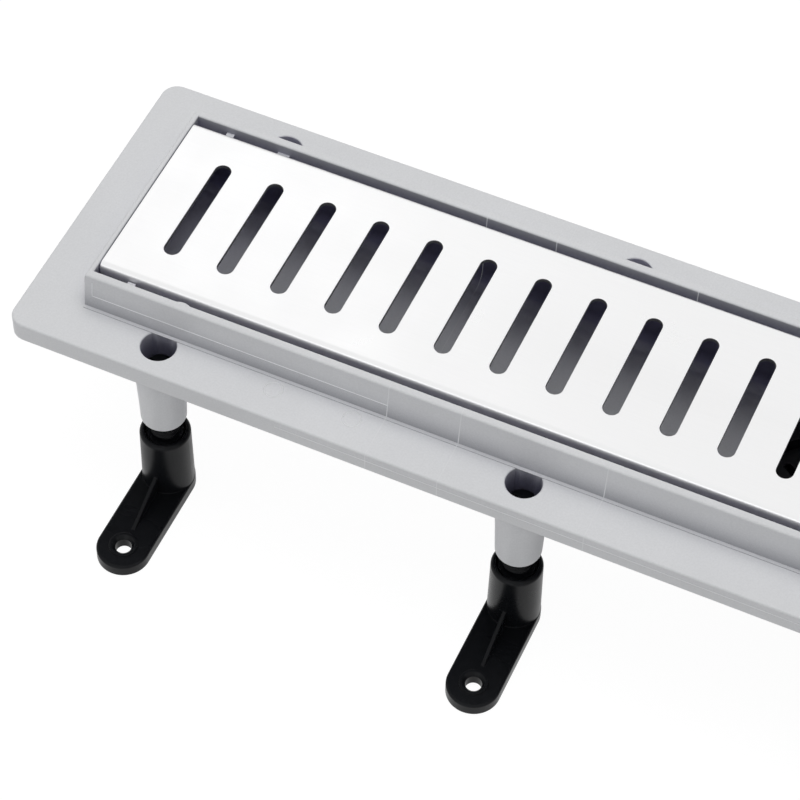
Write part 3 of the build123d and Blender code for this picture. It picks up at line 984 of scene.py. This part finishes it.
class DRAIN_OT_trap(bpy.types.Operator):
    """Gives the trap its black plastic and its seals their rubber"""

    bl_idname = "drain.trap"
    bl_label = "Trap"

    def execute(self, context):
        colours = context.scene.drain.colours
        plastic = moulded_plastic(
            "black_trap_plastic", colours.trap, roughness=0.4, edge=0.3 * MM, mottle=0.1
        )
        rubber = seal_rubber("black_rubber", colours.seals)
        for node in TRAP_NODES:
            dress(node, plastic)
        for node in SEAL_NODES:
            dress(node, rubber)
        return {"FINISHED"}


def area_light(name, place, target, size, power, tint=(1, 1, 1), in_gloss=True):
    """Adds a square lamp at a place, turned to face a target, which may be kept out of gloss."""
    data = bpy.data.lights.new(name, "AREA")
    data.shape = "SQUARE"
    data.size = size
    data.energy = power
    data.color = tint
    lamp = bpy.data.objects.new(name, data)
    lamp.visible_glossy = in_gloss
    lamp.location = place
    lamp.rotation_euler = (Vector(target) - Vector(place)).to_track_quat("-Z", "Y").to_euler()
    bpy.context.scene.collection.objects.link(lamp)


def backdrop_share(nodes, links):
    """One for rays that show the background: from the camera, or by way of gloss or glass."""
    path = nodes.new("ShaderNodeLightPath")
    share = path.outputs["Is Camera Ray"]
    for kind in ("Is Glossy Ray", "Is Transmission Ray"):
        share = joined(nodes, links, "MAXIMUM", share, path.outputs[kind])
    return share


def mix_shaders(nodes, links, share, first, second, output):
    """Feeds an output node with the first shader where a share is zero, the second where one."""
    choose = nodes.new("ShaderNodeMixShader")
    links.new(share, choose.inputs["Fac"])
    links.new(first.outputs[0], choose.inputs[1])
    links.new(second.outputs[0], choose.inputs[2])
    links.new(choose.outputs[0], nodes[output].inputs["Surface"])


def even_world(strength):
    """A world that lights evenly at a strength, and is pure white where it is seen."""
    world = bpy.data.worlds.new("even_white")
    world.use_nodes = True
    nodes, links = world.node_tree.nodes, world.node_tree.links
    sky = nodes["Background"]
    white = nodes.new("ShaderNodeBackground")
    for background, brightness in ((sky, strength), (white, 1.0)):
        background.inputs["Color"].default_value = (1, 1, 1, 1)
        background.inputs["Strength"].default_value = brightness
    mix_shaders(nodes, links, backdrop_share(nodes, links), sky, white, "World Output")
    return world


def floor_material(shadow_share):
    """A matt pale floor that looks white, apart from the share of its look that takes shadow."""
    material = bpy.data.materials.new("white_floor")
    material.use_nodes = True
    nodes, links = material.node_tree.nodes, material.node_tree.links
    nodes.remove(nodes["Principled BSDF"])
    matt = nodes.new("ShaderNodeBsdfDiffuse")
    matt.inputs["Color"].default_value = FLOOR_COLOUR
    glow = nodes.new("ShaderNodeEmission")
    glow.inputs["Strength"].default_value = FLOOR_GLOW
    share = changed(nodes, links, "MULTIPLY", backdrop_share(nodes, links), 1 - shadow_share)
    mix_shaders(nodes, links, share, matt, glow, "Material Output")
    return material


def add_floor(stage):
    """Adds the square floor, just under the feet."""
    half = stage.floor_size / 2
    sides = [(-half, -half), (half, -half), (half, half), (-half, half)]
    mesh = bpy.data.meshes.new("floor")
    mesh.from_pydata([(x, y, FLOOR_LEVEL) for x, y in sides], [], [(0, 1, 2, 3)])
    floor = bpy.data.objects.new("floor", mesh)
    bpy.context.scene.collection.objects.link(floor)
    mesh.materials.append(floor_material(stage.shadow_share))


def photo_camera(stage):
    """The camera at the photo's place, turned by its azimuth, elevation and roll."""
    sight = Vector((
        math.sin(stage.azimuth) * math.cos(stage.elevation),
        math.cos(stage.azimuth) * math.cos(stage.elevation),
        -math.sin(stage.elevation),
    ))
    level_right = sight.cross(Vector((0, 0, 1))).normalized()
    level_up = level_right.cross(sight)
    right = level_right * math.cos(stage.roll) + level_up * math.sin(stage.roll)
    up = right.cross(sight)
    data = bpy.data.cameras.new("photo_camera")
    data.sensor_width = SENSOR_WIDTH
    data.lens = stage.lens
    data.clip_start = CLIP_START
    camera = bpy.data.objects.new("photo_camera", data)
    turn = Matrix((right, up, -sight)).transposed().to_4x4()
    camera.matrix_world = Matrix.Translation(Vector(stage.camera_place)) @ turn
    bpy.context.scene.collection.objects.link(camera)
    return camera


class DRAIN_OT_stage(bpy.types.Operator):
    """Sets the white floor, the even light and the camera"""

    bl_idname = "drain.stage"
    bl_label = "Stage"

    def execute(self, context):
        scene = context.scene
        stage = scene.drain.stage
        scene.view_settings.view_transform = "Standard"
        scene.world = even_world(stage.sky)
        add_floor(stage)
        area_light(
            "overhead_softbox",
            place=(-0.15, 0.15, 1.4),
            target=(0, 0, 0.08),
            size=1.1,
            power=stage.overhead,
            in_gloss=False,
        )
        area_light(
            "grate_softbox",
            place=(-0.8, 0.95, 1.45),
            target=(-0.2, 0, 0.08),
            size=0.5,
            power=stage.grate_light,
        )
        area_light(
            "near_softbox",
            place=(-0.3, -1.6, 0.45),
            target=(-0.1, 0, 0.05),
            size=1.0,
            power=stage.side_light,
            tint=(0.94, 0.96, 1),
        )
        scene.camera = photo_camera(stage)
        return {"FINISHED"}


class DRAIN_PT_panel(bpy.types.Panel):
    """Lists the drain's finishing steps and their sizes"""

    bl_idname = "DRAIN_PT_panel"
    bl_label = "Shower Drain"
    bl_space_type = "VIEW_3D"
    bl_region_type = "UI"
    bl_category = "Drain"

    def draw(self, context):
        settings = context.scene.drain
        for group in (settings.colours, settings.thread, settings.marks, settings.stage):
            box = self.layout.box()
            for name in group.__annotations__:
                box.prop(group, name)
        self.layout.prop(settings, "with_marks")
        for operator in OPERATORS:
            self.layout.operator(operator.bl_idname)


OPERATORS = (
    DRAIN_OT_channel,
    DRAIN_OT_mould_marks,
    DRAIN_OT_grate,
    DRAIN_OT_legs,
    DRAIN_OT_trap,
    DRAIN_OT_stage,
)
CLASSES = (
    DrainColours,
    DrainThread,
    DrainMarks,
    DrainStage,
    DrainSettings,
    *OPERATORS,
    DRAIN_PT_panel,
)


def register():
    for item in CLASSES:
        bpy.utils.register_class(item)
    bpy.types.Scene.drain = PointerProperty(type=DrainSettings)


def unregister():
    del bpy.types.Scene.drain
    for item in reversed(CLASSES):
        bpy.utils.unregister_class(item)


def main():
    register()
    bpy.ops.drain.channel()
    if bpy.context.scene.drain.with_marks:
        bpy.ops.drain.mould_marks()
    bpy.ops.drain.grate()
    bpy.ops.drain.legs()
    bpy.ops.drain.trap()
    bpy.ops.drain.stage()


if __name__ == "__main__":
    main()
